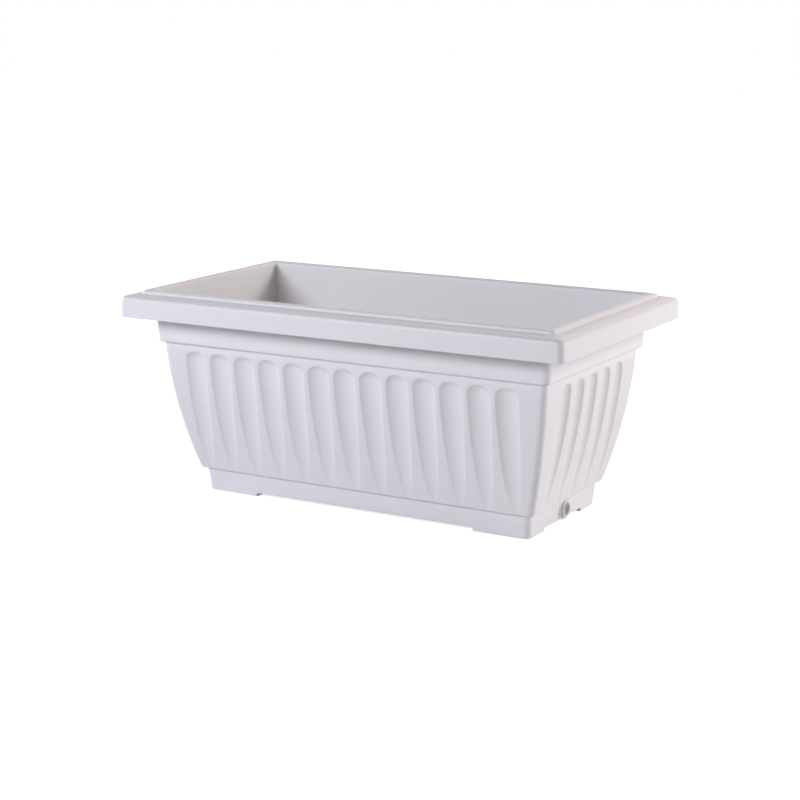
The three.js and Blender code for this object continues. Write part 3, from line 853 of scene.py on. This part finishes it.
def turned(name, profile, closed=False):
    """Spins (radius, X) points about the drain's axis. An open profile ends on the axis."""
    points, faces = [], []
    for i in range(TURNED_STEPS):
        angle = 2 * math.pi * i / TURNED_STEPS
        for radius, x in profile:
            points.append((x, radius * math.sin(angle), DRAIN_HEIGHT + radius * math.cos(angle)))
    count = len(profile)
    for i in range(TURNED_STEPS):
        here, there = i * count, (i + 1) % TURNED_STEPS * count
        for j in range(count if closed else count - 1):
            k = (j + 1) % count
            faces.append((here + j, here + k, there + k, there + j))
    piece = new_piece(name, points, faces)
    close_poles(piece)
    return piece


def close_poles(piece):
    """Merges the doubled points on the axis and drops the faces that they leave empty."""
    work = bmesh.new()
    work.from_mesh(piece.data)
    bmesh.ops.remove_doubles(work, verts=work.verts, dist=MERGE_DISTANCE)
    bmesh.ops.recalc_face_normals(work, faces=work.faces)
    work.to_mesh(piece.data)
    work.free()


print(f"drain: {DRAIN_HEIGHT / MM:.1f} mm above the ground")

# %% [markdown]
# ## The drain socket
# The socket is a shallow pocket in the face of the plinth, with a smaller seat for the rubber
# ring and a through hole, in a boss on the inside. The boss is joined to the shell and the rest
# is cut away. Rounds in the profile come from the same path function as the wall's.

# %% Drain socket
SOCKET_FACE, SOCKET_RADIUS = 225 * MM, 13.6 * MM
SEAT_RADIUS, SEAT_DEPTH = 11.3 * MM, 2.9 * MM
DRAIN_RADIUS, BOSS_RADIUS, BOSS_FACE = 8.7 * MM, 14.5 * MM, 216 * MM
SLAB_HALF, UNDER_SHOULDER = 30 * MM, 0.05 * MM


def cut_socket(shell):
    wall_inside = LENGTH / 2 - PLINTH_TOP_OFFSET - MM
    boss = turned("boss", rounded([(0, BOSS_FACE, 0), (BOSS_RADIUS, BOSS_FACE, 0.8 * MM),
                                   (BOSS_RADIUS, wall_inside, 0), (0, wall_inside, 0)]))
    slab = block("slab", (BOSS_FACE - MM, -SLAB_HALF, FOOT_HEIGHT + MM),
                 (wall_inside + MM, SLAB_HALF, SHOULDER - UNDER_SHOULDER))
    combine(boss, slab, "INTERSECT")
    combine(shell, boss, "UNION")
    outside = SOCKET_FACE + 20 * MM
    seat_floor = SOCKET_FACE - SEAT_DEPTH
    hole = BOSS_FACE - MM
    tool = turned("socket", rounded([
        (0, hole, 0), (DRAIN_RADIUS, hole, 0), (DRAIN_RADIUS, seat_floor, 0),
        (SEAT_RADIUS, seat_floor, 0.4 * MM), (SEAT_RADIUS, SOCKET_FACE, 0),
        (SOCKET_RADIUS, SOCKET_FACE, 0.8 * MM), (SOCKET_RADIUS, outside, 0), (0, outside, 0)]))
    combine(shell, tool, "DIFFERENCE")


cut_socket(planter_shell)
print(f"shell with its socket: {len(planter_shell.data.polygons)} faces")

# %% [markdown]
# ## The finished shell
# The shell now only needs its edges sorted into soft and sharp and its material. Then it is set
# on the trough, and the frame's plain shell, which it replaces, is hidden.

# %% Finish the shell
def hand_over(piece, body, node, material):
    """Gives a finished piece its edges, material and body, and hides the node that it replaces.
    """
    smooth_edges(piece)
    piece.data.materials.clear()
    piece.data.materials.append(material)
    for name in ("run", "end", "skin", "inward"):
        if name in piece.data.attributes:
            piece.data.attributes.remove(piece.data.attributes[name])
    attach(piece, body)
    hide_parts(node)
    faces = sum(len(face.vertices) - 2 for face in piece.data.polygons)
    print(f"{piece.name}: {faces} triangles, on {body}")


hand_over(planter_shell, "trough", "trough_shell", shell_plastic)

# %% [markdown]
# ## The lift-out grid
# The grid lies on the shoulder over the water. Its plate is a flat outline with rows of
# round-ended slots and two larger holes for the fingers. Drawing each slot by hand would be
# long, so the tree draws one, sets it on a grid of points, fills the space between all the
# outlines and gives it a thickness. A small chamfer afterwards breaks the sharp edges and
# leaves the plate itself flat.

# %% Plate tree
grid_low, grid_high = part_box("reservoir_grid")
PLATE = 2.5 * MM
PLATE_FOOT = grid_high.z - PLATE
SLOT_SIZE, SLOT_PITCH, SLOT_COUNT = (5 * MM, 22 * MM), (30 * MM, 34 * MM), (12, 5)
GRIP_SIZE, GRIP_REACH = (22 * MM, 44 * MM), 203 * MM
ROUND_END, ROUND_END_STEPS, CORNER_ROUND_STEPS = 0.499, 9, 6
CHAMFER, CHAMFER_ANGLE = 0.5 * MM, math.radians(40)


def rounded_outline(graph, width, length, radius, count):
    outline = graph.node("GeometryNodeCurvePrimitiveQuadrilateral", {},
                         {"Width": width, "Height": length})
    return graph.node("GeometryNodeFilletCurve", {"mode": "POLY"},
                      {"Curve": outline, "Count": count, "Radius": radius})


def slot_outline(graph, width, length):
    """A round-ended slot; its radius is just under half its width."""
    return rounded_outline(graph, width, length, width * ROUND_END, ROUND_END_STEPS)


def plate_tree():
    graph = geometry_graph("perforated_plate")
    size = graph.inputs(Length="Float", Width="Float", Corner="Float", Thickness="Float",
                        SlotWidth="Float", SlotLength="Float", PitchX="Float", PitchY="Float",
                        Columns="Int", Rows="Int", GripWidth="Float", GripLength="Float",
                        GripReach="Float", Material="Material")
    rim = rounded_outline(graph, size["Length"], size["Width"], size["Corner"],
                          CORNER_ROUND_STEPS)
    slot = slot_outline(graph, size["SlotWidth"], size["SlotLength"])
    places = point_grid(graph, size["Columns"], size["Rows"], size["PitchX"], size["PitchY"])
    slots = set_on(graph, places, slot)
    ends = point_row(graph, 2, size["GripReach"] * 2, vector(graph, X=size["GripReach"] * -1))
    grips = set_on(graph, ends, slot_outline(graph, size["GripWidth"], size["GripLength"]))
    outlines = graph.node("GeometryNodeJoinGeometry", {}, {0: [rim, slots, grips]})
    curves = graph.node("GeometryNodeRealizeInstances", {}, {0: outlines})
    sheet = graph.node("GeometryNodeFillCurve", {"mode": "NGONS"}, {"Curve": curves})
    top = graph.node("GeometryNodeExtrudeMesh", {"mode": "FACES"}, {
        "Mesh": sheet, "Offset": vector(graph, Z=size["Thickness"]), "Offset Scale": 1.0,
        "Individual": False})
    under = graph.node("GeometryNodeFlipFaces", {}, {0: sheet})
    both = graph.node("GeometryNodeJoinGeometry", {}, {0: [top, under]})
    closed = graph.node("GeometryNodeMergeByDistance", {}, {0: both})
    graph.result(closed, size["Material"])
    return graph


print(f"slots: {SLOT_COUNT[0] * SLOT_COUNT[1]}, with 2 holes for the fingers")

# %% [markdown]
# ## The plate made and chamfered
# The tree now gets its sizes. It makes the plate flat on the ground, which keeps its sums
# short, and the mesh is lifted to its height afterwards.

# %% Make the plate
def grid_plate():
    plate = new_piece("reservoir_grid_plate", [], [])
    run_tree(plate, plate_tree(), {
        "Length": grid_high.x - grid_low.x, "Width": grid_high.y - grid_low.y,
        "Corner": INNER_CORNER, "Thickness": PLATE, "SlotWidth": SLOT_SIZE[0],
        "SlotLength": SLOT_SIZE[1], "PitchX": SLOT_PITCH[0], "PitchY": SLOT_PITCH[1],
        "Columns": SLOT_COUNT[0], "Rows": SLOT_COUNT[1], "GripWidth": GRIP_SIZE[0],
        "GripLength": GRIP_SIZE[1], "GripReach": GRIP_REACH, "Material": grid_plastic})
    plate.data.transform(Matrix.Translation((0, 0, PLATE_FOOT)))
    chamfer = plate.modifiers.new("edges", "BEVEL")
    chamfer.width = CHAMFER
    chamfer.segments = 1
    chamfer.angle_limit = CHAMFER_ANGLE
    make_plain(plate)
    print(f"plate: {len(plate.data.polygons)} faces")
    return plate


reservoir_grid_plate = grid_plate()

# %% [markdown]
# ## Ribs and posts
# A flat plate would sag under wet soil. Ribs run between the rows of slots, a shallow wall
# under the long edges centres the grid in the plinth, and cross-shaped posts stand on the
# floor. They are all thin bars, so one tree sets bars of a given size on a grid of points, and
# each kind of bar runs it with its own sizes.

# %% Grid ribs
RIB, RIB_DEPTH, RIB_REACH = 2 * MM, 5 * MM, 215 * MM
EDGE_WALL_OFFSET = 76.2 * MM
POST_REACH, POST_GAP = 8 * MM, 0.3 * MM


def bar_tree():
    graph = geometry_graph("bars")
    size = graph.inputs(Size="Vector", CountX="Int", CountY="Int", SpacingX="Float",
                        SpacingY="Float", Height="Float", Material="Material")
    places = point_grid(graph, size["CountX"], size["CountY"], size["SpacingX"],
                        size["SpacingY"])
    bar = graph.node("GeometryNodeMeshCube", {}, {"Size": size["Size"]})
    lifted = graph.node("GeometryNodeTransform", {}, {
        "Geometry": set_on(graph, places, bar), "Translation": vector(graph, Z=size["Height"])})
    graph.result(lifted, size["Material"])
    return graph


def add_bars(piece, graph, size, count, spacing, top):
    """Joins a set of equal bars to the piece, their upper faces at the given height."""
    bars = new_piece("bars", [], [])
    run_tree(bars, graph, {"Size": size, "CountX": count[0], "CountY": count[1],
                           "SpacingX": spacing[0], "SpacingY": spacing[1],
                           "Height": top - size[2] / 2, "Material": grid_plastic})
    combine(piece, bars, "UNION")


def add_ribs(piece):
    graph = bar_tree()
    top = PLATE_FOOT + MM
    depth = RIB_DEPTH + MM
    half_width = WIDTH / 2 - EDGE_WALL_OFFSET - RIB / 2
    post_rows = 3 * SLOT_PITCH[1]
    post_columns = 4 * SLOT_PITCH[0]
    post_height = PLATE_FOOT + MM - FLOOR_TOP - POST_GAP
    add_bars(piece, graph, (RIB, 2 * half_width, depth), (7, 1), (2 * SLOT_PITCH[0], 0), top)
    for rows_apart in (post_rows, 2 * half_width):
        add_bars(piece, graph, (2 * RIB_REACH, RIB, depth), (1, 2), (0, rows_apart), top)
    for size in ((2 * POST_REACH, RIB, post_height), (RIB, 2 * POST_REACH, post_height)):
        add_bars(piece, graph, size, (3, 2), (post_columns, post_rows), top)


add_ribs(reservoir_grid_plate)
hand_over(reservoir_grid_plate, "grid", "reservoir_grid", grid_plastic)

# %% [markdown]
# ## The plug and its ring
# The plug is turned from one profile: a barrel closed at its inner end, a flange that covers
# the socket and a collar to grip, hollow from the outside. The ring is a torus in the seat
# behind the flange.

# %% Plug and ring
PLUG_INNER, PLUG_OUTER = (corner.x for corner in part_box("drain_plug"))
BARREL_RADIUS, BARREL_BORE = DRAIN_RADIUS - 0.4 * MM, 6.6 * MM
FLANGE_RADIUS, FLANGE = SOCKET_RADIUS - 0.4 * MM, 2 * MM
COLLAR_RADIUS, RECESS_RADIUS = 10.4 * MM, 7.8 * MM
SEAL_SECTION = 1.2 * MM
SEAL_SIDES = 20


def drain_plug():
    back = SOCKET_FACE + 0.3 * MM
    front = back + FLANGE
    return turned("push_in_plug", rounded([
        (0, PLUG_INNER, 0), (BARREL_RADIUS - 0.6 * MM, PLUG_INNER, 0.9 * MM),
        (BARREL_RADIUS, back, 0.2 * MM), (FLANGE_RADIUS, back, 0.4 * MM),
        (FLANGE_RADIUS, front, 0.8 * MM), (COLLAR_RADIUS, front, 0.4 * MM),
        (COLLAR_RADIUS - 0.2 * MM, PLUG_OUTER, 0.9 * MM),
        (RECESS_RADIUS, PLUG_OUTER, 0.7 * MM),
        (RECESS_RADIUS - 0.3 * MM, back + 0.6 * MM, 0.3 * MM),
        (BARREL_BORE, back - 0.4 * MM, 0.3 * MM),
        (BARREL_BORE - 0.4 * MM, PLUG_INNER + 2 * MM, 0.8 * MM), (0, PLUG_INNER + 2 * MM, 0)]))


def plug_seal():
    low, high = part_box("plug_seal")
    middle = (low.x + high.x) / 2
    radius = (high.z - low.z) / 2 - SEAL_SECTION
    profile = []
    for i in range(SEAL_SIDES):
        angle = 2 * math.pi * i / SEAL_SIDES
        profile.append((radius + SEAL_SECTION * math.cos(angle),
                        middle + SEAL_SECTION * math.sin(angle)))
    return turned("plug_ring", profile, closed=True)


hand_over(drain_plug(), "plug", "drain_plug", plug_plastic)
hand_over(plug_seal(), "plug", "plug_seal", seal_rubber)

# %% [markdown]
# ## Floor and background
# The picture has a plain white ground. A floor could be lit until it turns white, but that
# much light would burn out a white object too. Instead the floor is an ordinary pale surface
# that adds a white glow of its own for the camera and for reflections only, so the planter
# keeps its contact shadow and its own tones. The glow is weaker round the planter, where the
# lamps light the floor, and full further out, where they don't reach. The world does the same:
# no light on the object, and white where the camera or a reflection looks past the floor.

# %% Floor and world
FLOOR_HALF, FLOOR_GAP = 8.0, 0.2 * MM
GLOW_NEAR, GLOW_FAR = 0.72, 1.0
GLOW_REACH = (0.45, 1.6)


def seen_directly(graph):
    """One for camera rays and for what glossy or clear surfaces reflect, and otherwise zero."""
    path = [graph.node("ShaderNodeLightPath", {}, {}, name)
            for name in ("Is Camera Ray", "Is Glossy Ray", "Is Transmission Ray")]
    return graph.math("MAXIMUM", graph.math("MAXIMUM", path[0], path[1]), path[2])


def floor_material():
    material, graph = new_material("pale floor")
    matt = graph.node("ShaderNodeBsdfDiffuse", {}, {"Color": (0.8, 0.8, 0.8, 1)})
    place = graph.node("ShaderNodeTexCoord", {}, {}, "Object")
    away = graph.node("ShaderNodeVectorMath", {"operation": "LENGTH"}, {0: place}, "Value")
    strength = graph.node("ShaderNodeMapRange", {}, {
        "Value": away, "From Min": GLOW_REACH[0], "From Max": GLOW_REACH[1],
        "To Min": GLOW_NEAR, "To Max": GLOW_FAR})
    glow = graph.node("ShaderNodeEmission", {}, {
        "Color": (1, 1, 1, 1), "Strength": seen_directly(graph) * strength})
    both = graph.node("ShaderNodeAddShader", {}, {0: matt, 1: glow})
    graph.surface(both)
    return material


def make_floor():
    h = FLOOR_HALF
    floor = new_piece("floor", [(-h, -h, 0), (h, -h, 0), (h, h, 0), (-h, h, 0)], [(0, 1, 2, 3)])
    floor.data.transform(Matrix.Translation((0, 0, -FLOOR_GAP)))
    floor.data.materials.append(floor_material())


def make_world():
    world = bpy.data.worlds.new("studio")
    world.use_nodes = True
    graph = Graph(world.node_tree)
    unlit = graph.node("ShaderNodeBackground", {}, {"Color": (0, 0, 0, 1), "Strength": 1.0})
    white = graph.node("ShaderNodeBackground", {}, {"Color": (1, 1, 1, 1), "Strength": 1.0})
    mixed = graph.node("ShaderNodeMixShader", {}, {0: seen_directly(graph), 1: unlit, 2: white})
    graph.node("ShaderNodeOutputWorld", values={"Surface": mixed})
    bpy.context.scene.world = world


make_floor()
make_world()
print(f"floor: {2 * FLOOR_HALF:.0f} m square")

# %% [markdown]
# ## Lamps
# Six soft boxes stand round the planter. The rim's shadow on the neck has a soft edge that
# falls at 19 to 36 degrees below the rim, which gives the height and the size of the two lamps
# in front, and the flutes are dark on their left edge, so both stand to the left. Low lamps at
# the sides and one behind on the right light the ends, and a warm one behind colours the
# inside. Their powers and colours were solved: the planter was rendered with each lamp alone,
# and the sum of those that comes closest to the picture was taken. The left lamp was held down,
# so that its end doesn't burn out. Nothing lights the planter from the camera, so its near
# upright corner is a dark line.

# %% Lamps
LAMP_DISTANCE, LAMP_SIZE = 2.6, 0.7
LAMPS = {  # azimuth from the front, elevation, watts, colour
    "front": (345, 24, 18.3, (0.975, 0.871, 1.0)),
    "main": (330, 24, 24.7, (0.789, 0.917, 1.0)),
    "left": (270, 9, 25.0, (0.86, 0.86, 1.0)),
    "right": (105, 9, 18.3, (0.888, 0.808, 1.0)),
    "back right": (120, 24, 25.0, (0.988, 1.0, 0.906)),
    "back": (180, 40, 14.1, (1.0, 0.73, 0.73)),
}


def soft_box(name, azimuth, elevation, power, colour):
    """An area lamp that looks at the planter; azimuth 0 is in front and 90 on the right."""
    a, e = math.radians(azimuth), math.radians(elevation)
    towards = Vector((math.sin(a) * math.cos(e), -math.cos(a) * math.cos(e), math.sin(e)))
    data = bpy.data.lights.new(name, "AREA")
    data.shape = "SQUARE"
    data.size = LAMP_SIZE
    data.energy = power
    data.color = colour
    lamp = bpy.data.objects.new(name, data)
    lamp.location = towards * LAMP_DISTANCE + Vector((0, 0, HEIGHT / 2))
    lamp.rotation_euler = towards.to_track_quat("Z", "Y").to_euler()
    bpy.context.scene.collection.objects.link(lamp)


for lamp_name, setting in LAMPS.items():
    soft_box(lamp_name, *setting)
print(f"lamps: {len(LAMPS)}, {sum(watts for _, _, watts, _ in LAMPS.values()):.0f} W in all")

# %% [markdown]
# ## Last setting
# The view transform stays plain, so a colour renders as it is written.

# %% Finish
bpy.context.scene.view_settings.view_transform = "Standard"
